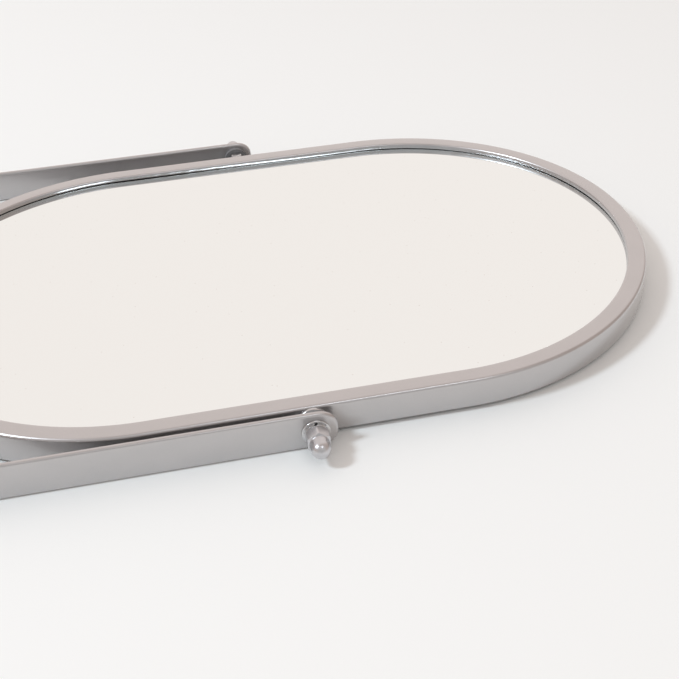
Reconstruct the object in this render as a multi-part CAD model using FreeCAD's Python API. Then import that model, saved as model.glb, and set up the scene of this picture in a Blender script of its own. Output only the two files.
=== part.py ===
"""Folding makeup mirror: a pill-shaped mirror that turns inside a U-shaped stand of flat bar.

Millimetres, +Z up. The mirror lies folded flat, face up, with the stand's base at -X.
The origin is the bottom centre of the folded mirror. Left is +Y and right is -Y.
The mirror hangs nearer to the right arm: its left screw carries two spacing nuts.
"""
import FreeCAD
import Part
import math
import os

Vector = FreeCAD.Vector

# Mirror frame: one steel section rolled to a pill shape round the glass
frame_width = 180.0
frame_length = 282.0
frame_height = 11.0
frame_sheet = 0.8
frame_edge_break = 0.6
front_lip_width = 6.6
front_lip_drop = 2.5
rear_lip_width = 3.0

# Mirror glass, and the pad and panel that hold it from behind
glass_thickness = 3.0
glass_clearance = 0.6
panel_thickness = 0.8
panel_clearance = 0.3
pad_clearance = 0.5
pad_notch_clearance = 0.8

# Stand: one flat steel bar bent to a U, with an eye at each end
bar_width = 13.0
bar_thickness = 2.0
bar_edge_break = 0.3
stand_turn_clearance = 17.0
stand_bend_inside = 30.0
eye_end_margin = 0.25

# Pivot fasteners, the same on both sides but for the spacing nuts
thread_diameter = 4.0
thread_clearance = 0.05
frame_hole_clearance = 0.15
eye_clearance = 0.08
eye_side_clearance = 0.05
bolt_head_clearance = 0.7
bolt_head_height = 2.6
bolt_engagement = 5.4
bolt_tip_room = 1.2
nut_across_flats = 7.0
nut_chamfer_angle = 30.0
spacing_nut_height = 3.2
spacing_nut_turn_angle = 30.0
washer_clearance = 0.15
inner_washer_diameter = 11.0
inner_washer_thickness = 1.0
friction_washer_diameter = 10.0
friction_washer_thickness = 2.2
outer_washer_diameter = 9.0
outer_washer_thickness = 0.8
spring_washer_diameter = 7.4
spring_washer_thickness = 0.9
spring_washer_slit = 0.7
spring_washer_slit_angle = 25.0
cap_nut_turn_angle = 0.0
cap_nut_hex_height = 4.2
cap_nut_dome_wall = 1.05
cap_nut_end_wall = 3.1

# Heights and places that follow from the sizes
frame_radius = frame_width / 2
frame_straight = frame_length - frame_width
wall_inside = frame_radius - frame_sheet
opening_radius = frame_radius - front_lip_width
stand_reach = frame_length / 2 + stand_turn_clearance + bar_thickness
pivot_x = (stand_reach - frame_length / 2) / 2
pivot_z = max(bar_width, frame_height) / 2
frame_bottom = pivot_z - frame_height / 2
frame_top = frame_bottom + frame_height
glass_front = frame_top - front_lip_drop
glass_back = glass_front - glass_thickness
panel_bottom = frame_bottom + frame_sheet
panel_top = panel_bottom + panel_thickness
glass_radius = wall_inside - bolt_head_height - glass_clearance
bolt_head_radius = pivot_z - panel_top - bolt_head_clearance
thread_radius = thread_diameter / 2
threaded_bore_radius = thread_radius + thread_clearance
nut_corner_radius = nut_across_flats / math.sqrt(3)

# Gaps between the frame and the arms, and how far they push the mirror off the stand's middle plane
right_gap = inner_washer_thickness + friction_washer_thickness + eye_side_clearance
left_gap = right_gap + 2 * spacing_nut_height
mirror_y = (right_gap - left_gap) / 2
left_wall = frame_radius + mirror_y
right_wall = frame_radius - mirror_y

# Distances from the stand's middle plane to each piece of a pivot, going outwards
inner_nut_start = left_wall + inner_washer_thickness
outer_nut_start = inner_nut_start + spacing_nut_height
bar_inside = left_wall + left_gap
friction_washer_start = bar_inside - eye_side_clearance - friction_washer_thickness
outer_washer_start = bar_inside + bar_thickness + eye_side_clearance
spring_washer_start = outer_washer_start + outer_washer_thickness
cap_nut_start = spring_washer_start + spring_washer_thickness
bolt_tip = cap_nut_start + bolt_engagement
cap_nut_bore_end = bolt_tip + bolt_tip_room
cap_nut_end = cap_nut_bore_end + cap_nut_end_wall

Z_AXIS = Vector(0, 0, 1)


def section_face(*corners):
    """Flat section in the Y-Z plane, from corners given as distance out and height."""
    outline = [Vector(0, distance, height) for distance, height in corners]
    return Part.Face(Part.makePolygon(outline + outline[:1]))


def frame_section():
    """Section of the rolled frame: front lip with a turned-down edge, side wall and rear lip."""
    rear_edge = frame_radius - rear_lip_width
    return section_face(
        (rear_edge, frame_bottom),
        (frame_radius - frame_edge_break, frame_bottom),
        (frame_radius, frame_bottom + frame_edge_break),
        (frame_radius, frame_top - frame_edge_break),
        (frame_radius - frame_edge_break, frame_top),
        (opening_radius + frame_edge_break, frame_top),
        (opening_radius, frame_top - frame_edge_break),
        (opening_radius, glass_front),
        (opening_radius + frame_sheet, glass_front),
        (opening_radius + frame_sheet, frame_top - frame_sheet),
        (wall_inside, frame_top - frame_sheet),
        (wall_inside, panel_bottom),
        (rear_edge, panel_bottom),
    )


def pill_ring(section):
    """Carries a section round the mirror's pill-shaped outline."""
    half = frame_straight / 2
    side = section.translated(Vector(pivot_x - half, 0, 0)).extrude(Vector(frame_straight, 0, 0))
    end_centre = Vector(pivot_x + half, 0, 0)
    end = section.translated(end_centre).revolve(end_centre, Z_AXIS, -180)
    middle = Vector(pivot_x, 0, 0)
    others = [end, side.rotated(middle, Z_AXIS, 180), end.rotated(middle, Z_AXIS, 180)]
    return side.fuse(others).removeSplitter()


def pill_plate(radius, bottom, top):
    """Flat plate with the mirror's pill-shaped outline, its ends rounded to a radius."""
    half = frame_straight / 2
    height = top - bottom
    plate = Part.makeBox(frame_straight, 2 * radius, height, Vector(pivot_x - half, -radius, bottom))
    end_places = [Vector(pivot_x - half, 0, bottom), Vector(pivot_x + half, 0, bottom)]
    ends = [Part.makeCylinder(radius, height, place) for place in end_places]
    return plate.fuse(ends).removeSplitter()


def pivot_cylinder(radius, start, length):
    """Cylinder on the pivot axis, from a distance out from the stand's middle plane."""
    return Part.makeCylinder(radius, length, Vector(pivot_x, start, pivot_z), Vector(0, 1, 0))


def pivot_turned(*points):
    """Solid turned about the pivot axis, from points given as distance out and radius."""
    outline = [Vector(pivot_x, distance, pivot_z + radius) for distance, radius in points]
    wire = Part.makePolygon(outline + outline[:1])
    return Part.Face(wire).revolve(Vector(pivot_x, 0, pivot_z), Vector(0, 1, 0), 360)


def pivot_hexagon(start, length, turn_angle):
    """Hexagonal bar on the pivot axis, turned from the place where one corner is straight up."""
    corners = []
    for side in range(7):
        angle = math.radians(60 * side + turn_angle)
        corners.append(Vector(pivot_x + nut_corner_radius * math.sin(angle), start,
                              pivot_z + nut_corner_radius * math.cos(angle)))
    return Part.Face(Part.makePolygon(corners)).extrude(Vector(0, length, 0))


def other_side(shape):
    """Mirror image across the plane that halves the stand lengthwise."""
    return shape.mirror(Vector(0, 0, 0), Vector(0, 1, 0))


def build_mirror_frame():
    """Rolled steel frame, crimped at the rear, with a bolt hole through each side wall."""
    hole_radius = thread_radius + frame_hole_clearance
    holes = pivot_cylinder(hole_radius, -frame_width, 2 * frame_width)
    return pill_ring(frame_section()).cut(holes)


def build_mirror_glass():
    """Silvered pane, held by its rim against the lip's turned-down edge."""
    return pill_plate(glass_radius, glass_back, glass_front)


def build_backing_pad():
    """Foam pad that fills the frame behind the glass, notched round the two bolt heads."""
    radius = wall_inside - pad_clearance
    notch_radius = bolt_head_radius + pad_notch_clearance
    notch_depth = bolt_head_height + pad_notch_clearance
    corner = Vector(pivot_x - notch_radius, wall_inside - notch_depth, panel_top)
    notch = Part.makeBox(2 * notch_radius, notch_depth, glass_back - panel_top, corner)
    pad = pill_plate(radius, panel_top, glass_back)
    return pad.cut([notch, other_side(notch)])


def build_back_panel():
    """Steel panel that closes the back, trapped by the crimped rear lip."""
    return pill_plate(wall_inside - panel_clearance, panel_bottom, panel_top)


def build_stand():
    """Flat bar on edge, bent to a U, with a rounded eye a little past the pivot at the end of each arm."""
    bar_outside = bar_inside + bar_thickness
    bar_top = pivot_z + bar_width / 2
    top_half = [
        (bar_outside, bar_top - bar_edge_break),
        (bar_outside - bar_edge_break, bar_top),
        (bar_inside + bar_edge_break, bar_top),
        (bar_inside, bar_top - bar_edge_break),
    ]
    bottom_half = [(distance, 2 * pivot_z - height) for distance, height in reversed(top_half)]
    section = section_face(*top_half, *bottom_half)
    eye_section = section_face((bar_outside, pivot_z), *top_half, (bar_inside, pivot_z))
    eye_x = pivot_x + eye_end_margin
    eye = eye_section.translated(Vector(eye_x, 0, 0)).revolve(Vector(eye_x, 0, pivot_z), Vector(0, 1, 0), 180)
    bend_x = pivot_x - stand_reach + bar_thickness + stand_bend_inside
    bend_centre = Vector(bend_x, bar_inside - stand_bend_inside, 0)
    bend_start = section.translated(Vector(bend_x, 0, 0))
    arm = bend_start.extrude(Vector(eye_x - bend_x, 0, 0))
    bend = bend_start.revolve(bend_centre, Z_AXIS, 90)
    base = bend_start.rotated(bend_centre, Z_AXIS, 90).extrude(Vector(0, -2 * bend_centre.y, 0))
    left = [arm, eye, bend]
    right = [other_side(piece) for piece in left]
    stand = base.fuse(left + right).removeSplitter()
    hole_radius = thread_radius + eye_clearance
    return stand.cut(pivot_cylinder(hole_radius, -2 * bar_inside, 4 * bar_inside))


def build_pivot_bolt(wall):
    """Cheese-head machine screw, put in from inside the frame, whose outer wall is at a distance out."""
    head_end = wall - frame_sheet
    head_start = head_end - bolt_head_height
    return pivot_turned(
        (head_start, 0),
        (head_start, bolt_head_radius),
        (head_end, bolt_head_radius),
        (head_end, thread_radius),
        (bolt_tip, thread_radius),
        (bolt_tip, 0),
    )


def build_spacing_nut(start):
    """Hexagon nut, one of the two that fill the wider gap on the left."""
    nut = pivot_hexagon(start, spacing_nut_height, spacing_nut_turn_angle)
    return nut.cut(pivot_cylinder(threaded_bore_radius, start, spacing_nut_height))


def build_washer(start, diameter, thickness):
    """Plain round washer on the pivot axis."""
    washer = pivot_cylinder(diameter / 2, start, thickness)
    return washer.cut(pivot_cylinder(thread_radius + washer_clearance, start, thickness))


def build_spring_washer():
    """Split spring washer, shown pressed flat, with its slanted slit on top."""
    washer = build_washer(spring_washer_start, spring_washer_diameter, spring_washer_thickness)
    reach = spring_washer_diameter
    corner = Vector(pivot_x - spring_washer_slit / 2, spring_washer_start - reach / 2, pivot_z)
    slit = Part.makeBox(spring_washer_slit, spring_washer_thickness + reach, reach, corner)
    middle = Vector(pivot_x, spring_washer_start + spring_washer_thickness / 2, pivot_z)
    return washer.cut(slit.rotated(middle, Z_AXIS, spring_washer_slit_angle))


def build_cap_nut():
    """Tall domed cap nut: a hexagon, a round neck and a half-ball end over a blind bore."""
    dome_radius = threaded_bore_radius + cap_nut_dome_wall
    dome_centre = cap_nut_end - dome_radius
    hexagon_end = cap_nut_start + cap_nut_hex_height
    corner_height = nut_corner_radius - nut_across_flats / 2
    corner_drop = corner_height * math.tan(math.radians(nut_chamfer_angle))
    corner_cone = pivot_turned(
        (cap_nut_start, 0),
        (cap_nut_start, nut_corner_radius),
        (hexagon_end - corner_drop, nut_corner_radius),
        (hexagon_end, nut_across_flats / 2),
        (hexagon_end, 0),
    )
    hexagon = pivot_hexagon(cap_nut_start, cap_nut_hex_height, cap_nut_turn_angle).common(corner_cone)
    neck = pivot_cylinder(dome_radius, cap_nut_start, dome_centre - cap_nut_start)
    ball = Part.makeSphere(dome_radius, Vector(pivot_x, dome_centre, pivot_z), Vector(0, 1, 0))
    nut = hexagon.fuse([neck, ball]).removeSplitter()
    return nut.cut(pivot_cylinder(threaded_bore_radius, cap_nut_start, cap_nut_bore_end - cap_nut_start))


def build_inner_washer(wall):
    """Wide washer against the frame's outer wall, which is at a distance out."""
    return build_washer(wall, inner_washer_diameter, inner_washer_thickness)


def build_arm_pieces():
    """Pieces that clamp the left arm, by name, in order outwards."""
    return {
        "friction_washer": build_washer(friction_washer_start, friction_washer_diameter,
                                        friction_washer_thickness),
        "outer_washer": build_washer(outer_washer_start, outer_washer_diameter, outer_washer_thickness),
        "spring_washer": build_spring_washer(),
        "cap_nut": build_cap_nut(),
    }


def build_all():
    """Every piece by its node name. The pieces at the right arm are the left ones' mirror images."""
    mirror_shift = Vector(0, mirror_y, 0)
    nodes = {
        "stand": build_stand(),
        "mirror_frame": build_mirror_frame().translated(mirror_shift),
        "mirror_glass": build_mirror_glass().translated(mirror_shift),
        "backing_pad": build_backing_pad().translated(mirror_shift),
        "back_panel": build_back_panel().translated(mirror_shift),
        "pivot_bolt_left": build_pivot_bolt(left_wall),
        "pivot_bolt_right": other_side(build_pivot_bolt(right_wall)),
        "inner_washer_left": build_inner_washer(left_wall),
        "inner_washer_right": other_side(build_inner_washer(right_wall)),
        "spacing_nut_inner": build_spacing_nut(inner_nut_start),
        "spacing_nut_outer": build_spacing_nut(outer_nut_start),
    }
    for name, piece in build_arm_pieces().items():
        nodes[name + "_left"] = piece
        nodes[name + "_right"] = other_side(piece)
    return nodes


os.makedirs("parts", exist_ok=True)
for node, shape in build_all().items():
    shape.exportStep("parts/" + node + ".step")
    print(node, "solids", len(shape.Solids), "valid", shape.isValid(), "volume", round(shape.Volume, 1))
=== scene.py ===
import math

import bmesh
import bpy
import numpy as np
from mathutils import Matrix


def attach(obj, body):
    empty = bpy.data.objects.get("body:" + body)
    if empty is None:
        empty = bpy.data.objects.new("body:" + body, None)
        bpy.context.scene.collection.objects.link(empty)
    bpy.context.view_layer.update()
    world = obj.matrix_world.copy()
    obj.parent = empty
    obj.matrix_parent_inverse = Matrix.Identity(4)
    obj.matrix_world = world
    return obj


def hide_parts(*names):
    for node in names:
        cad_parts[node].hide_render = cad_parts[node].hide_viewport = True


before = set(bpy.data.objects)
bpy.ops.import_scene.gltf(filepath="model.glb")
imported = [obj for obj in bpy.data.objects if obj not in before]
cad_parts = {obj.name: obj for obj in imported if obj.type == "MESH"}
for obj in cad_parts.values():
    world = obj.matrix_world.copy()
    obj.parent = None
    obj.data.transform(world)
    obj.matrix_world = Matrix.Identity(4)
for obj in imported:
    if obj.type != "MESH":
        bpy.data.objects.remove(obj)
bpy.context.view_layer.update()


# Stand: one length of round-edged mild-steel bar, 13 by 2 mm, standing on its narrow side. It is bent
# cold twice to a U. Its ends are rounded and drilled as eyes for the pivot screws, and the whole bar is
# sprayed silver.

def crease(mesh, degrees):
    """Shades the mesh smooth, except across edges that turn by more than this angle."""
    mesh.polygons.foreach_set("use_smooth", np.ones(len(mesh.polygons), bool))
    mesh.set_sharp_from_angle(angle=math.radians(degrees))


def skin(name, points, ring=False, loop=True, degrees=35.0):
    """A piece from a grid of points in millimetres, shaped along by across by 3. Every four neighbouring
    points make one face. With ring the rows along close on themselves, and with loop the columns across
    do. Points that meet are merged, which shuts the ends. The surface map holds the run along and across
    in metres."""
    rows, columns = points.shape[:2]
    row, column = np.meshgrid(
        np.arange(rows if ring else rows - 1), np.arange(columns if loop else columns - 1), indexing="ij")
    row_of = np.stack([row, row + 1, row + 1, row], -1)
    column_of = np.stack([column, column, column + 1, column + 1], -1)
    corners = (row_of % rows) * columns + column_of % columns
    along = np.linalg.norm(np.roll(points, -1, 0) - points, axis=2).max(1)
    across = np.linalg.norm(np.roll(points, -1, 1) - points, axis=2).max(0)
    along = np.concatenate([[0.0], np.cumsum(along)])
    across = np.concatenate([[0.0], np.cumsum(across)])
    runs = np.stack([along[row_of], across[column_of]], -1) * 0.001
    mesh = bpy.data.meshes.new(name)
    mesh.from_pydata((points.reshape(-1, 3) * 0.001).tolist(), [], corners.reshape(-1, 4).tolist())
    mesh.uv_layers.new(name="surface").data.foreach_set("uv", runs.astype(np.float32).ravel())
    shape = bmesh.new()
    shape.from_mesh(mesh)
    bmesh.ops.remove_doubles(shape, verts=shape.verts, dist=2e-7)
    bmesh.ops.recalc_face_normals(shape, faces=shape.faces)
    shape.to_mesh(mesh)
    shape.free()
    crease(mesh, degrees)
    piece = bpy.data.objects.new(name, mesh)
    bpy.context.scene.collection.objects.link(piece)
    return piece


def drill(piece, hole, degrees=35.0):
    """Takes the closed shape hole out of the piece, as a drill does, and drops the hole's own object."""
    cut = piece.modifiers.new("drill", "BOOLEAN")
    cut.operation = "DIFFERENCE"
    cut.solver = "EXACT"
    cut.object = hole
    drilled = bpy.data.meshes.new_from_object(piece.evaluated_get(bpy.context.evaluated_depsgraph_get()))
    piece.modifiers.clear()
    piece.data = drilled
    bpy.data.objects.remove(hole)
    crease(drilled, degrees)


def srgb(code):
    """Linear colour of an sRGB hex value, by the standard's own curve."""
    value = np.array([int(code[k:k + 2], 16) for k in (0, 2, 4)]) / 255
    linear = np.where(value <= 0.04045, value / 12.92, ((value + 0.055) / 1.055) ** 2.4)
    return (*linear.tolist(), 1.0)


def add_node(tree, kind, settings, links):
    """Adds one node. Each setting goes to the socket of that name or number, or else to the node's
    property, and each link joins a socket to an output."""
    node = tree.nodes.new(kind)
    for key, value in settings.items():
        if isinstance(key, int) or key in node.inputs:
            node.inputs[key].default_value = value
        else:
            setattr(node, key, value)
    for key, output in links.items():
        tree.links.new(output, node.inputs[key])
    return node


def new_finish(name, settings):
    """A material with its plain shader values set. Returns it with its node tree and shader."""
    material = bpy.data.materials.new(name)
    material.use_nodes = True
    shader = material.node_tree.nodes["Principled BSDF"]
    for key, value in settings.items():
        shader.inputs[key].default_value = value
    return material, material.node_tree, shader


# Silver lacquer: fine aluminium flake in a clear binder, sprayed and baked. The flake gives a soft even
# grey that brightens towards the lamps. The clear coat over it adds small lights on edges and bends, and
# a shine that grows at flat angles.
silver_lacquer, tree, shader = new_finish(
    "silver_lacquer", {"Metallic": 0.9, "Coat Weight": 0.8, "Coat Roughness": 0.15})
place = add_node(tree, "ShaderNodeTexCoord", {}, {})
# Flake is about 0.02 mm across and too fine to show, so it is drawn 0.25 mm across and faint.
flake = add_node(tree, "ShaderNodeTexVoronoi", {"Scale": 1 / 0.00025}, {"Vector": place.outputs["Object"]})
clouds = add_node(
    tree, "ShaderNodeTexNoise", {"Scale": 1 / 0.014, "Detail": 4.0, "Roughness": 0.55},
    {"Vector": place.outputs["Object"]})
peel = add_node(
    tree, "ShaderNodeTexNoise", {"Scale": 1 / 0.0012, "Detail": 2.0},
    {"Vector": place.outputs["Object"]})
flake_tone = add_node(tree, "ShaderNodeSeparateColor", {}, {"Color": flake.outputs["Color"]})
tone = add_node(
    tree, "ShaderNodeMath", {"operation": "MULTIPLY_ADD", 1: 0.2},
    {0: flake_tone.outputs["Red"], 2: clouds.outputs["Fac"]})
lacquer_colour = add_node(
    tree, "ShaderNodeMix", {"data_type": "RGBA", 6: srgb("bab8b8"), 7: srgb("c4c1c1")},
    {0: tone.outputs["Value"]})
flake_gloss = add_node(
    tree, "ShaderNodeMapRange", {"From Min": 0.3, "From Max": 0.7, "To Min": 0.30, "To Max": 0.33},
    {"Value": clouds.outputs["Fac"]})
peel_bump = add_node(
    tree, "ShaderNodeBump", {"Strength": 0.06, "Distance": 0.00003},
    {"Height": peel.outputs["Fac"]})
tree.links.new(lacquer_colour.outputs[2], shader.inputs["Base Color"])
tree.links.new(flake_gloss.outputs["Result"], shader.inputs["Roughness"])
tree.links.new(peel_bump.outputs["Normal"], shader.inputs["Normal"])
tree.links.new(peel_bump.outputs["Normal"], shader.inputs["Coat Normal"])

pivot_x = 9.5
pivot_z = 6.5
bar_half_width = 6.5
eye_x = pivot_x + 0.25
eye_reach = 6.9
eye_fullness = 2.3
eye_hole_radius = 2.08
bar_half_thickness = 1.0
bar_edge_radius = 0.97
arm_y = 97.45
bend_radius = 31.0
bend_x = -118.5
bend_y = arm_y - bend_radius
eye_steps = 25
straight_steps = 16
bend_steps = 41
drill_reach = arm_y + 2 * bar_half_thickness


def bar_section():
    """Once round the bar's section. Each point has its place through the thickness, its share of the half
    width and how far the rounded edge draws it in: a quarter circle at each of the four edges."""
    turn = np.linspace(0, np.pi / 2, 7)
    edge_depth = bar_half_thickness - bar_edge_radius + bar_edge_radius * np.cos(turn)
    edge_inset = bar_edge_radius - bar_edge_radius * np.sin(turn)
    share = np.linspace(-1, 1, 9)[1:-1]
    face = np.full(len(share), bar_half_thickness)
    inset = np.full(len(share), bar_edge_radius)
    edge = np.ones(len(turn))
    depth = [face, edge_depth, -edge_depth[::-1], -face, -edge_depth, edge_depth[::-1]]
    width = [share, edge, edge, -share, -edge, -edge]
    drawn_in = [inset, edge_inset, edge_inset[::-1], inset, edge_inset, edge_inset[::-1]]
    return np.concatenate(depth), np.concatenate(width), np.concatenate(drawn_in)


def both_arms(right_arm, base, sign=1):
    """One column of values along the U: the right arm's, the base's, and the right arm's again in reverse
    for the left arm, times the sign."""
    left_arm = [sign * part[::-1] for part in right_arm[::-1]]
    return np.concatenate([*right_arm, base, *left_arm])[:, None]


def stand_bar():
    """The bar's section carried along the U, from the right eye round to the left. Arms and base are
    straight and the bends are quarter circles. In each eye the section moves out past the pivot and
    shrinks, by powers of the sine and cosine of one angle, so that its outline is a half ellipse with
    slightly full corners."""
    fan = np.linspace(np.pi / 2, 0, eye_steps)
    arm = np.linspace(eye_x, bend_x, straight_steps + 2)[1:-1]
    corner = np.linspace(0, np.pi / 2, bend_steps)
    base = np.linspace(-bend_y, bend_y, straight_steps + 2)[1:-1]
    arm_steps = eye_steps + straight_steps
    x = [np.full(eye_steps, eye_x), arm, bend_x - bend_radius * np.sin(corner)]
    y = [np.full(arm_steps, -arm_y), -bend_y - bend_radius * np.cos(corner)]
    out_x = [np.zeros(arm_steps), -np.sin(corner)]
    out_y = [-np.ones(arm_steps), -np.cos(corner)]
    eye = [fan, np.zeros(straight_steps + bend_steps)]
    x = both_arms(x, np.full(straight_steps, bend_x - bend_radius))
    y = both_arms(y, base, -1)
    out_x = both_arms(out_x, -np.ones(straight_steps))
    out_y = both_arms(out_y, np.zeros(straight_steps), -1)
    eye = both_arms(eye, np.zeros(straight_steps))
    depth, width, drawn_in = bar_section()
    reach = bar_half_width - drawn_in
    outward = (reach + eye_reach - bar_half_width) * np.sin(eye) ** (2 / eye_fullness)
    upward = reach * np.cos(eye) ** (2 / eye_fullness)
    return np.stack([
        x + out_x * depth + outward,
        y + out_y * depth + 0 * eye,
        pivot_z + width * upward], -1)


def turned(reach, radius, side, steps=96):
    """A profile turned about the pivot's axis. The profile has its reach along the axis from the mirror's
    middle and its radius, and side is 1 for the left pivot and -1 for the right. Angle zero is straight
    up."""
    angle = np.linspace(0, 2 * np.pi, steps, endpoint=False)[:, None]
    x = pivot_x + radius * np.sin(angle)
    z = pivot_z + radius * np.cos(angle)
    y = side * np.asarray(reach) + 0 * angle
    return np.stack([x, y, z], -1)


def drilled_hole(radius):
    """A plain round rod along the pivot's axis, from past one arm to past the other, for drilling both
    sides at once."""
    reach = np.array([-drill_reach, -drill_reach, drill_reach, drill_reach])
    rod = turned(reach, np.array([0.0, radius, radius, 0.0]), 1)
    return skin("drill", rod, ring=True, loop=False)


stand = skin("stand_bar", stand_bar())
drill(stand, drilled_hole(eye_hole_radius))
stand.data.materials.append(silver_lacquer)
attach(stand, "stand_body")
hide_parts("stand")


# Mirror frame: one strip of 0.8 mm sheet steel rolled to a lipped channel, bent to a pill outline and
# butt-welded. Its front lip turns down onto the glass in a tight bend, its rear lip is crimped over the
# back panel, and it is sprayed silver.
sheet = 0.8
mirror_y = -3.2
frame_radius = 90.0
frame_low = 1.0
frame_high = 12.0
front_lip = 6.6
turned_edge_low = 9.5
rear_lip = 3.0
wide_bend_radius = 0.8
tight_bend_radius = 0.55
end_spacing = 51.0
wall_hole_radius = 2.15


def rolled_section():
    """Once round the rolled sheet's section, as distance in from the outer wall and height. The sheet's
    middle line turns a quarter circle at each bend. Half the sheet is set off to both sides of it, along
    the line's normal, and a half circle closes each free edge."""
    half = sheet / 2
    turn = np.linspace(0, np.pi / 2, 8)[None, :, None]
    low, high = frame_low + half, frame_high - half
    corner = np.array([[half, low], [half, high], [front_lip - half, high]])[:, None]
    coming = np.array([[-1.0, 0.0], [0.0, 1.0], [1.0, 0.0]])[:, None]
    going = np.array([[0.0, 1.0], [1.0, 0.0], [0.0, -1.0]])[:, None]
    bend = np.array([wide_bend_radius, wide_bend_radius, tight_bend_radius])[:, None, None]
    normal = coming * np.sin(turn) - going * np.cos(turn)
    middle = corner + bend * (going - coming + normal)
    normal = normal.reshape(-1, 2)
    middle = middle.reshape(-1, 2)
    round_end = np.linspace(0, np.pi, 9)[:, None]
    front_end = np.array([front_lip - half, turned_edge_low + half])
    rear_end = np.array([rear_lip - half, frame_low + half])
    front_round = front_end + half * (np.cos(round_end) * [1.0, 0.0] + np.sin(round_end) * [0.0, -1.0])
    rear_round = rear_end + half * (np.cos(round_end) * [0.0, 1.0] + np.sin(round_end) * [1.0, 0.0])
    outside = middle + half * normal
    inside = middle - half * normal
    return np.concatenate([outside, front_round, inside[::-1], rear_round])


def pill_sweep(out, height, end_steps=97, side_steps=20):
    """Carries a profile once round the pill. Each profile point keeps its distance out from the pill's
    spine and its height, and distances of nothing meet on the spine. The direction turns half round at
    each end and stands still along the straight sides, while the spine's point moves from one end's
    centre to the other's."""
    quarter = np.pi / 2
    right_end = np.linspace(-quarter, quarter, end_steps)
    left_end = right_end + np.pi
    left_side = np.full(side_steps, quarter)
    turn = np.concatenate([right_end, left_side, left_end, left_side + np.pi])[:, None]
    side = np.linspace(end_spacing, -end_spacing, side_steps + 2)[1:-1]
    end = np.full(end_steps, end_spacing)
    spine = np.concatenate([end, side, -end, -side])[:, None]
    return np.stack([
        pivot_x + spine + out * np.cos(turn),
        mirror_y + out * np.sin(turn) + 0 * spine,
        height + 0 * turn], -1)


# The turned-down edge is bent 14 degrees under, but stands upright at the middle of the right end. It was
# drawn in round the ends, so it ripples by a few hundredths of a millimetre: two waves, 91 and 143 to the
# round, that swell and fade seven times. It touches the glass here and there and elsewhere stands off by
# up to 0.3 mm, which shows as a dark line.
frame_end_steps = 241
frame_side_steps = 100
ripple_height = 0.025
ripple_fade = 1.2
under_slope = 0.25
upright_share = 0.177
most_stand_off = 0.3
inward, height = rolled_section().T
share_round = np.linspace(0, 1, 2 * (frame_end_steps + frame_side_steps), endpoint=False)[:, None]
round_angle = 2 * np.pi * share_round
below_lip = np.clip(frame_high - sheet - height, 0, None)
on_turned_edge = np.clip(below_lip / ripple_fade, 0, 1) * (inward > front_lip - 1.5 * sheet)
ripple = np.sin(91 * round_angle) + 0.7 * np.sin(143 * round_angle + 1.3)
ripple = ripple_height * ripple * (0.6 + 0.4 * np.sin(7 * round_angle))
bend_share = np.clip(1 - np.cos(round_angle - 2 * np.pi * upright_share), 0, 1)
bent_under = under_slope * bend_share * below_lip * (on_turned_edge > 0)
out = frame_radius - inward + bent_under + ripple * on_turned_edge
stand_off = most_stand_off / 2 * (1 - np.cos(5 * round_angle) * np.cos(2 * round_angle + 0.8))
lifted = height + stand_off * on_turned_edge
rolled_frame = skin("rolled_frame", pill_sweep(out, lifted, frame_end_steps, frame_side_steps), ring=True)
drill(rolled_frame, drilled_hole(wall_hole_radius))
rolled_frame.data.materials.append(silver_lacquer)

# Rubbed lacquer: the same lacquer where cloths have wiped it along with the glass for years. It is worn
# bright, so the turned-down edge mirrors the lamps in hard white stretches. The right end is wiped less
# and stays duller.
rubbed_lacquer, tree, shader = new_finish("rubbed_lacquer", {"Metallic": 1.0})
place = add_node(tree, "ShaderNodeTexCoord", {}, {})
rubbing = add_node(
    tree, "ShaderNodeTexNoise", {"Scale": 1 / 0.004, "Detail": 3.0},
    {"Vector": place.outputs["Object"]})
rubbed_colour = add_node(
    tree, "ShaderNodeMix", {"data_type": "RGBA", 6: srgb("b9b8ba"), 7: srgb("c6c5c6")},
    {0: rubbing.outputs["Fac"]})
rubbed_gloss = add_node(
    tree, "ShaderNodeMapRange", {"From Min": 0.3, "From Max": 0.7, "To Min": 0.10, "To Max": 0.18},
    {"Value": rubbing.outputs["Fac"]})
along_mirror = add_node(tree, "ShaderNodeSeparateXYZ", {}, {"Vector": place.outputs["Object"]})
less_wiped = add_node(
    tree, "ShaderNodeMapRange", {"From Min": 0.050, "From Max": 0.085, "To Min": 0.0, "To Max": 0.2},
    {"Value": along_mirror.outputs["X"]})
wiped_gloss = add_node(
    tree, "ShaderNodeMath", {"operation": "ADD"},
    {0: rubbed_gloss.outputs["Result"], 1: less_wiped.outputs["Result"]})
tree.links.new(rubbed_colour.outputs[2], shader.inputs["Base Color"])
tree.links.new(wiped_gloss.outputs["Value"], shader.inputs["Roughness"])
rolled_frame.data.materials.append(rubbed_lacquer)
rubbed_reach = 0.55
rubbed_below = 0.5


def on_inner_wall(mesh):
    """True for each face on the turned-down edge's inner side: within reach of the opening's edge, as
    measured from the pill's spine, and below the lip's top."""
    centre = np.empty(3 * len(mesh.polygons), np.float32)
    mesh.polygons.foreach_get("center", centre)
    x, y, z = centre.reshape(-1, 3).T * 1000
    past_end = np.clip(np.abs(x - pivot_x) - end_spacing, 0, None)
    from_spine = np.hypot(past_end, y - mirror_y)
    return (from_spine < frame_radius - front_lip + rubbed_reach) & (z < frame_high - rubbed_below)


rolled_frame.data.polygons.foreach_set("material_index", on_inner_wall(rolled_frame.data).astype(np.int32))
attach(rolled_frame, "mirror_body")
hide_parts("mirror_frame")


# Mirror pane: 3 mm float glass, cut to the pill outline and silvered, with its edge ground to a small
# flat. The frame's turned-down edge holds it from the front and the foam pad presses it forward.
glass_radius = 86.0
glass_low = 6.5
glass_high = 9.5
ground_edge = 0.4

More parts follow.
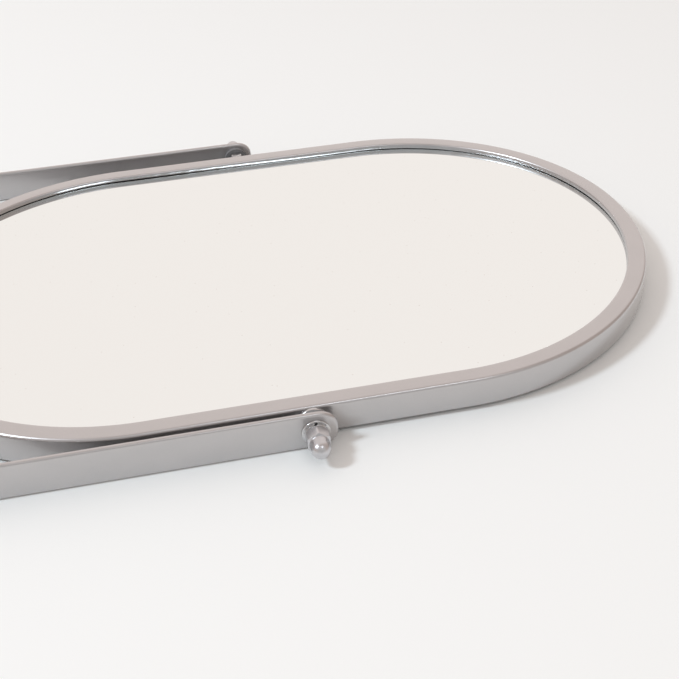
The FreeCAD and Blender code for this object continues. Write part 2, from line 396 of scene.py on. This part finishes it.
# Silvered float glass: a clear mirror with the cold tint of the glass, a breath of haze from wiping and a
# little dust that settles in specks.
silvered_glass, tree, shader = new_finish("silvered_float_glass", {"Metallic": 1.0})
place = add_node(tree, "ShaderNodeTexCoord", {}, {})
haze = add_node(
    tree, "ShaderNodeTexNoise", {"Scale": 1 / 0.030, "Detail": 3.0, "Distortion": 0.6},
    {"Vector": place.outputs["Object"]})
haze_gloss = add_node(
    tree, "ShaderNodeMapRange", {"From Min": 0.4, "From Max": 0.75, "To Min": 0.012, "To Max": 0.035},
    {"Value": haze.outputs["Fac"]})
# Real dust is about 0.05 mm across; it is drawn as specks up to 0.5 mm, one in each 4 mm, to show at all.
specks = add_node(
    tree, "ShaderNodeTexVoronoi", {"Scale": 1 / 0.004, "Randomness": 1.0},
    {"Vector": place.outputs["Object"]})
speck = add_node(
    tree, "ShaderNodeMapRange", {"From Min": 0.06, "From Max": 0.02},
    {"Value": specks.outputs["Distance"]})
silver_colour = add_node(
    tree, "ShaderNodeMix", {"data_type": "RGBA", 6: srgb("f3f8f8"), 7: srgb("dcdad6")},
    {0: speck.outputs["Result"]})
speck_gloss = add_node(
    tree, "ShaderNodeMath", {"operation": "MULTIPLY_ADD", 1: 0.2},
    {0: speck.outputs["Result"], 2: haze_gloss.outputs["Result"]})
tree.links.new(silver_colour.outputs[2], shader.inputs["Base Color"])
tree.links.new(speck_gloss.outputs["Value"], shader.inputs["Roughness"])

glass_inside = glass_radius - ground_edge
glass_out = np.array([0.0, glass_inside, glass_radius, glass_radius, glass_inside, 0.0])
glass_height = np.array([
    glass_low, glass_low, glass_low + ground_edge, glass_high - ground_edge, glass_high, glass_high])
pane = skin("mirror_pane", pill_sweep(glass_out, glass_height), ring=True, loop=False, degrees=20.0)
pane.data.materials.append(silvered_glass)
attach(pane, "mirror_body")
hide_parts("mirror_glass")


# Foam pad: a die-cut sheet of closed-cell foam between glass and back panel, notched round the screw
# heads. It keeps the pane from rattling and is wholly hidden, so the construction's own solid stays.

# Closed-cell polyethylene foam: dull dark grey, with cells of about half a millimetre that dimple the
# surface.
closed_cell_foam, tree, shader = new_finish("closed_cell_foam", {"Roughness": 0.9, "Sheen Weight": 0.1})
place = add_node(tree, "ShaderNodeTexCoord", {}, {})
cells = add_node(tree, "ShaderNodeTexVoronoi", {"Scale": 1 / 0.0005}, {"Vector": place.outputs["Object"]})
foam_colour = add_node(
    tree, "ShaderNodeMix", {"data_type": "RGBA", 6: srgb("2e2e2f"), 7: srgb("4a4a4b")},
    {0: cells.outputs["Distance"]})
cell_bump = add_node(
    tree, "ShaderNodeBump", {"Strength": 0.5, "Distance": 0.0002},
    {"Height": cells.outputs["Distance"]})
tree.links.new(foam_colour.outputs[2], shader.inputs["Base Color"])
tree.links.new(cell_bump.outputs["Normal"], shader.inputs["Normal"])
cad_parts["backing_pad"].material_slots[0].material = closed_cell_foam


# Back panel: a flat blank of 0.8 mm sheet steel, cut to the pill outline and sprayed silver. It lies
# in the frame behind the pad, and the crimped rear lip holds it.
panel_radius = 88.9
panel_low = 1.8
panel_high = 2.6
panel_out = np.array([0.0, panel_radius, panel_radius, 0.0])
panel_height = np.array([panel_low, panel_low, panel_high, panel_high])
panel = skin("back_panel_sheet", pill_sweep(panel_out, panel_height), ring=True, loop=False)
panel.data.materials.append(silver_lacquer)
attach(panel, "mirror_body")
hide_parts("back_panel")


# Pivot screws: cheese-head machine screws, M4, put in from inside the frame. Only what they carry is
# seen, so the construction's own solids stay and take the fasteners' zinc.

# Bright zinc plate on steel: a cool silver grey that is duller than nickel, clouded by its passivation.
bright_zinc, tree, shader = new_finish("bright_zinc_plate", {"Metallic": 1.0})
place = add_node(tree, "ShaderNodeTexCoord", {}, {})
clouding = add_node(
    tree, "ShaderNodeTexNoise", {"Scale": 1 / 0.0016, "Detail": 3.0},
    {"Vector": place.outputs["Object"]})
zinc_tone = add_node(
    tree, "ShaderNodeMapRange", {"From Min": 0.35, "From Max": 0.65},
    {"Value": clouding.outputs["Fac"]})
zinc_colour = add_node(
    tree, "ShaderNodeMix", {"data_type": "RGBA", 6: srgb("cacacc"), 7: srgb("d6d5d4")},
    {0: zinc_tone.outputs["Result"]})
zinc_gloss = add_node(
    tree, "ShaderNodeMapRange", {"From Min": 0.3, "From Max": 0.7, "To Min": 0.19, "To Max": 0.26},
    {"Value": clouding.outputs["Fac"]})
tree.links.new(zinc_colour.outputs[2], shader.inputs["Base Color"])
tree.links.new(zinc_gloss.outputs["Result"], shader.inputs["Roughness"])
for node in ("pivot_bolt_left", "pivot_bolt_right"):
    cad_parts[node].material_slots[0].material = bright_zinc


# Wide washers: 10 mm punched steel washers, one on each screw against the frame's outer wall. They spread
# the screw's pull over the thin sheet. The punch leaves one edge rounded, and that side faces the arm.
sides = {"left": 1, "right": -1}
frame_wall = {"left": frame_radius + mirror_y, "right": frame_radius - mirror_y}
wide_washer_thickness = 1.0
wide_washer_radius = 4.9
wide_washer_edge = 0.6
washer_bore = 2.15


def washer_section(start, thickness, radius, edge):
    """Once round a washer's section: bore, back face, outer wall, a quarter circle at the punched edge
    and the front face. The punched edge is at the end where reach is greatest."""
    turn = np.linspace(0, np.pi / 2, 7)
    end = start + thickness
    reach = np.concatenate([[start, start], end - edge + edge * np.sin(turn), [end]])
    rim = np.concatenate([[washer_bore, radius], radius - edge + edge * np.cos(turn), [washer_bore]])
    return reach, rim


for name, side in sides.items():
    reach, rim = washer_section(
        frame_wall[name], wide_washer_thickness, wide_washer_radius, wide_washer_edge)
    wide_washer = skin("wide_washer_" + name, turned(reach, rim, side), ring=True)
    wide_washer.data.materials.append(bright_zinc)
    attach(wide_washer, "mirror_body")
    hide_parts("inner_washer_" + name)


# Spacing nuts: two M4 hexagon nuts, 7 mm across flats, cold-formed steel with both ends chamfered. They
# are run down the left screw, one against the other, and fill the wider gap between frame and arm on that
# side.
nut_half_flats = 3.5
nut_face_radius = 3.35
nut_corner_radius = 4.04
nut_height = 3.2
nut_steps = 144
corner_power = 60
thread_radius = 2.05
thread_chamfer = 0.3


def hexagon(first_face):
    """Radius of a hexagon for each angle round it, with its first face at an angle from straight up: half
    its width across flats over the cosine to the nearest face. A high power mean of the cosines rounds
    the corners."""
    angle = np.linspace(0, 2 * np.pi, nut_steps, endpoint=False)[:, None]
    face = np.radians(first_face + 60 * np.arange(6))
    facing = np.clip(np.cos(angle - face), 0, None)
    return nut_half_flats / (facing ** corner_power).sum(1, keepdims=True) ** (1 / corner_power)


def chamfer(start, end):
    """Reach and radius of a 30 degree cone from the nut's end face at start, opening towards its end."""
    radius = np.linspace(nut_face_radius, nut_corner_radius, 9)
    rise = (radius - nut_face_radius) * math.tan(math.radians(30))
    return start + rise * np.sign(end - start), radius


first_nut = frame_wall["left"] + wide_washer_thickness
for name, start in (("inner", first_nut), ("outer", first_nut + nut_height)):
    end = start + nut_height
    low_reach, low_radius = chamfer(start, end)
    high_reach, high_radius = chamfer(end, start)
    mouth = thread_radius + thread_chamfer
    nut_reach = np.concatenate([
        [end - thread_chamfer, start + thread_chamfer, start], low_reach, high_reach[::-1], [end]])
    nut_limit = np.concatenate([
        [thread_radius, thread_radius, mouth], low_radius, high_radius[::-1], [mouth]])
    nut_surface = turned(nut_reach, np.minimum(nut_limit, hexagon(0)), sides["left"], nut_steps)
    spacing_nut = skin("hexagon_nut_" + name, nut_surface, ring=True)
    spacing_nut.data.materials.append(bright_zinc)
    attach(spacing_nut, "mirror_body")
    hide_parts("spacing_nut_" + name)


# Friction washers: 10 mm washers punched from grey nylon sheet, pressed against the inside of each arm.
# They give the tilt its drag and keep steel from scraping on steel.
friction_start = frame_wall["right"] + wide_washer_thickness
friction_thickness = 2.2
friction_radius = 5.0
friction_edge = 0.15

# Grey nylon: waxy mid grey that lets a little light in, half dull, with faint clouds from the filler.
grey_nylon, tree, shader = new_finish(
    "grey_nylon",
    {"IOR": 1.53, "Subsurface Weight": 0.15, "Subsurface Radius": (0.0006, 0.0005, 0.0004),
     "Subsurface Scale": 1.0})
place = add_node(tree, "ShaderNodeTexCoord", {}, {})
milk = add_node(
    tree, "ShaderNodeTexNoise", {"Scale": 1 / 0.0015, "Detail": 2.0},
    {"Vector": place.outputs["Object"]})
nylon_colour = add_node(
    tree, "ShaderNodeMix", {"data_type": "RGBA", 6: srgb("6e6e70"), 7: srgb("7d7d7e")},
    {0: milk.outputs["Fac"]})
nylon_gloss = add_node(
    tree, "ShaderNodeMapRange", {"To Min": 0.38, "To Max": 0.52},
    {"Value": milk.outputs["Fac"]})
tree.links.new(nylon_colour.outputs[2], shader.inputs["Base Color"])
tree.links.new(nylon_gloss.outputs["Result"], shader.inputs["Roughness"])

for name, side in sides.items():
    reach, rim = washer_section(friction_start, friction_thickness, friction_radius, friction_edge)
    friction_washer = skin("nylon_washer_" + name, turned(reach, rim, side), ring=True)
    friction_washer.data.materials.append(grey_nylon)
    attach(friction_washer, "mirror_body")
    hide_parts("friction_washer_" + name)


# Flat washers: 9 mm punched steel washers outside each arm, under the spring washers. They lie with the
# sharp side on the arm and the rounded edge outwards, and keep the springs from biting into the lacquer.
running_gap = 0.05
flat_washer_start = arm_y + bar_half_thickness + running_gap
flat_washer_thickness = 0.8
flat_washer_radius = 4.5
flat_washer_edge = 0.25
for name, side in sides.items():
    reach, rim = washer_section(
        flat_washer_start, flat_washer_thickness, flat_washer_radius, flat_washer_edge)
    flat_washer = skin("flat_washer_" + name, turned(reach, rim, side), ring=True)
    flat_washer.data.materials.append(bright_zinc)
    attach(flat_washer, "mirror_body")
    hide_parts("outer_washer_" + name)


# Spring washers: one turn of square-edged spring-steel wire, cut on a slant and pressed flat under the
# cap nut. The slit stays open at the top.
spring_start = flat_washer_start + flat_washer_thickness
spring_thickness = 0.9
spring_bore = 2.2
spring_radius = 3.7
spring_edge = 0.12
spring_steps = 91
slit_width = 0.7
slit_slant = math.tan(math.radians(25))


def spring_turn(side):
    """The wire's section, a square with its corners cut, carried round the pivot from one side of the
    slit to the other. Each point's angle is shifted by its reach, which slants the two cut ends, and a
    last row drawn to the section's middle shuts each end."""
    low, high = spring_start, spring_start + spring_thickness
    cut_low, cut_high = low + spring_edge, high - spring_edge
    reach = np.array([cut_low, low, low, cut_low, cut_high, high, high, cut_high])
    bore, rim = spring_bore, spring_radius
    cut_bore, cut_rim = bore + spring_edge, rim - spring_edge
    radius = np.array([bore, cut_bore, cut_rim, rim, rim, cut_rim, cut_bore, bore])
    middle_radius = (bore + rim) / 2
    middle_reach = (low + high) / 2
    gap = slit_width / middle_radius
    angle = gap / 2 + np.linspace(0, 2 * np.pi - gap, spring_steps)
    angle = np.concatenate([angle[:1], angle, angle[-1:]])[:, None]
    open_out = np.concatenate([[0.0], np.ones(spring_steps), [0.0]])[:, None]
    angle = angle - (reach - middle_reach) * open_out * slit_slant / middle_radius
    radius = middle_radius + (radius - middle_radius) * open_out
    reach = middle_reach + (reach - middle_reach) * open_out
    return np.stack([pivot_x + radius * np.sin(angle), side * reach, pivot_z + radius * np.cos(angle)], -1)


for name, side in sides.items():
    spring_washer = skin("split_washer_" + name, spring_turn(side))
    spring_washer.data.materials.append(bright_zinc)
    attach(spring_washer, "mirror_body")
    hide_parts("spring_washer_" + name)


# Cap nuts: tall domed M4 nuts, turned from hexagon bar and satin nickel plated. They cover the screws'
# ends and set how hard the washers press on the arms.
dome_radius = 3.1
cap_hexagon_height = 4.2
cap_height = 9.7
cap_start = spring_start + spring_thickness
cap_shoulder = cap_start + cap_hexagon_height
cap_end = cap_start + cap_height
cap_bore_end = cap_end - dome_radius
neck_fillet = 0.3

# Satin nickel plate on steel: a pale grey that mirrors softly, with duller spots where fingers have
# turned it.
satin_nickel, tree, shader = new_finish("satin_nickel_plate", {"Metallic": 1.0})
place = add_node(tree, "ShaderNodeTexCoord", {}, {})
handling = add_node(
    tree, "ShaderNodeTexNoise", {"Scale": 1 / 0.0025, "Detail": 4.0},
    {"Vector": place.outputs["Object"]})
nickel_tone = add_node(
    tree, "ShaderNodeMapRange", {"From Min": 0.35, "From Max": 0.65},
    {"Value": handling.outputs["Fac"]})
nickel_colour = add_node(
    tree, "ShaderNodeMix", {"data_type": "RGBA", 6: srgb("c6c6c9"), 7: srgb("d2d1d3")},
    {0: nickel_tone.outputs["Result"]})
nickel_gloss = add_node(
    tree, "ShaderNodeMapRange", {"From Min": 0.3, "From Max": 0.7, "To Min": 0.28, "To Max": 0.33},
    {"Value": handling.outputs["Fac"]})
tree.links.new(nickel_colour.outputs[2], shader.inputs["Base Color"])
tree.links.new(nickel_gloss.outputs["Result"], shader.inputs["Roughness"])

low_reach, low_radius = chamfer(cap_start, cap_end)
high_reach, high_radius = chamfer(cap_shoulder, cap_start)
quarter = np.linspace(0, np.pi / 2, 7)
neck_reach = cap_shoulder + neck_fillet * (1 - np.cos(quarter))
neck_radius = dome_radius + neck_fillet * (1 - np.sin(quarter))
ball = np.linspace(0, np.pi / 2, 25)
ball_reach = cap_end - dome_radius + dome_radius * np.sin(ball)
ball_radius = dome_radius * np.cos(ball)
bore_reach = [cap_bore_end, cap_bore_end, cap_start + thread_chamfer, cap_start]
bore_radius = [0.0, thread_radius, thread_radius, thread_radius + thread_chamfer]
cap_reach = np.concatenate([bore_reach, low_reach, high_reach[::-1], neck_reach, ball_reach])
cap_limit = np.concatenate([bore_radius, low_radius, high_radius[::-1], neck_radius, ball_radius])
for name, side in sides.items():
    cap_surface = turned(cap_reach, np.minimum(cap_limit, hexagon(30)), side, nut_steps)
    cap_nut = skin("domed_nut_" + name, cap_surface, ring=True, loop=False, degrees=28.0)
    cap_nut.data.materials.append(satin_nickel)
    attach(cap_nut, "mirror_body")
    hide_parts("cap_nut_" + name)


# Floor: a wide sheet of matt white card under the mirror, which only takes its shadow.
floor_half = 12.0
floor_corners = [(x * floor_half, y * floor_half, 0.0) for x, y in ((-1, -1), (1, -1), (1, 1), (-1, 1))]
card = bpy.data.meshes.new("floor_card")
card.from_pydata(floor_corners, [], [(0, 1, 2, 3)])
floor = bpy.data.objects.new("floor_card", card)
bpy.context.scene.collection.objects.link(floor)
white_card, tree, shader = new_finish(
    "matt_white_card", {"Base Color": srgb("f2f4f3"), "Roughness": 0.9, "Specular IOR Level": 0.2})
card.materials.append(white_card)


# Light: a soft lamp to the left and above, a wide weaker one in front, both a little cold, and a pale
# warm room round about. The room is brightest at the far side, where the glass looks, and least warm at
# the near side, behind the camera.
def soft_lamp(name, at, aim, width, height, power, colour):
    """A flat lamp at a place in metres, turned to face its aim."""
    lamp = bpy.data.lights.new(name, "AREA")
    lamp.shape = "RECTANGLE"
    lamp.size = width
    lamp.size_y = height
    lamp.energy = power
    lamp.color = colour
    holder = bpy.data.objects.new(name, lamp)
    back = np.array(at) - np.array(aim)
    back = back / np.linalg.norm(back)
    right = np.cross([0.0, 0.0, 1.0], back)
    right = right / np.linalg.norm(right)
    turn = np.eye(4)
    turn[:3, :3] = np.stack([right, np.cross(back, right), back], 1)
    turn[:3, 3] = at
    holder.matrix_world = Matrix(turn.tolist())
    bpy.context.scene.collection.objects.link(holder)


soft_lamp(
    "left_lamp", at=(-1.64, -0.20, 1.76), aim=(0.0, 0.0, 0.0), width=0.32, height=0.40, power=27.0,
    colour=srgb("e8f5ff")[:3])
soft_lamp(
    "front_lamp", at=(0.45, -1.24, 1.96), aim=(0.0, 0.0, 0.0), width=0.80, height=0.34, power=3.8,
    colour=srgb("f0f8ff")[:3])

far_side = (0.05, 0.82, 0.57)
near_side = (0.0, -0.94, 0.34)
world = bpy.data.worlds.new("pale_room")
bpy.context.scene.world = world
world.use_nodes = True
tree = world.node_tree
ground = tree.nodes["Background"]
look = add_node(tree, "ShaderNodeTexCoord", {}, {})
to_far = add_node(
    tree, "ShaderNodeVectorMath", {"operation": "DOT_PRODUCT", 1: far_side},
    {0: look.outputs["Generated"]})
far_share = add_node(
    tree, "ShaderNodeMapRange", {"interpolation_type": "SMOOTHSTEP", "From Min": 0.50, "From Max": 0.83},
    {"Value": to_far.outputs["Value"]})
to_near = add_node(
    tree, "ShaderNodeVectorMath", {"operation": "DOT_PRODUCT", 1: near_side},
    {0: look.outputs["Generated"]})
near_share = add_node(
    tree, "ShaderNodeMapRange", {"interpolation_type": "SMOOTHSTEP", "From Min": 0.45, "From Max": 0.9},
    {"Value": to_near.outputs["Value"]})
near_colour = add_node(
    tree, "ShaderNodeMix", {"data_type": "RGBA", 6: srgb("c8b9b1"), 7: srgb("cbc8c6")},
    {0: near_share.outputs["Result"]})
room_colour = add_node(
    tree, "ShaderNodeMix", {"data_type": "RGBA", 7: srgb("fcf2ed")},
    {0: far_share.outputs["Result"], 6: near_colour.outputs[2]})
tree.links.new(room_colour.outputs[2], ground.inputs["Color"])
ground.inputs["Strength"].default_value = 1.0


# Camera: where the photograph's was, fitted to the outline of the frame.
focal_pixels = 1073.9
picture_pixels = 679
sensor_width = 36.0
azimuth = math.radians(-9.99)
elevation = math.radians(35.46)
roll = math.radians(-2.90)
distance = 0.3548
target = np.array([0.02481, -0.06095, 0.012])
level = math.cos(elevation)
back = np.array([math.sin(azimuth) * level, -math.cos(azimuth) * level, math.sin(elevation)])
level_right = np.cross(-back, [0.0, 0.0, 1.0])
level_right = level_right / np.linalg.norm(level_right)
level_up = np.cross(level_right, -back)
camera_turn = np.eye(4)
camera_turn[:3, 0] = math.cos(roll) * level_right + math.sin(roll) * level_up
camera_turn[:3, 1] = -math.sin(roll) * level_right + math.cos(roll) * level_up
camera_turn[:3, 2] = back
camera_turn[:3, 3] = target + distance * back
camera_data = bpy.data.cameras.new("camera")
camera_data.sensor_width = sensor_width
camera_data.lens = sensor_width * focal_pixels / picture_pixels
camera_data.clip_start = 0.01
camera = bpy.data.objects.new("camera", camera_data)
camera.matrix_world = Matrix(camera_turn.tolist())
bpy.context.scene.collection.objects.link(camera)
bpy.context.scene.camera = camera
bpy.context.scene.view_settings.view_transform = "Standard"
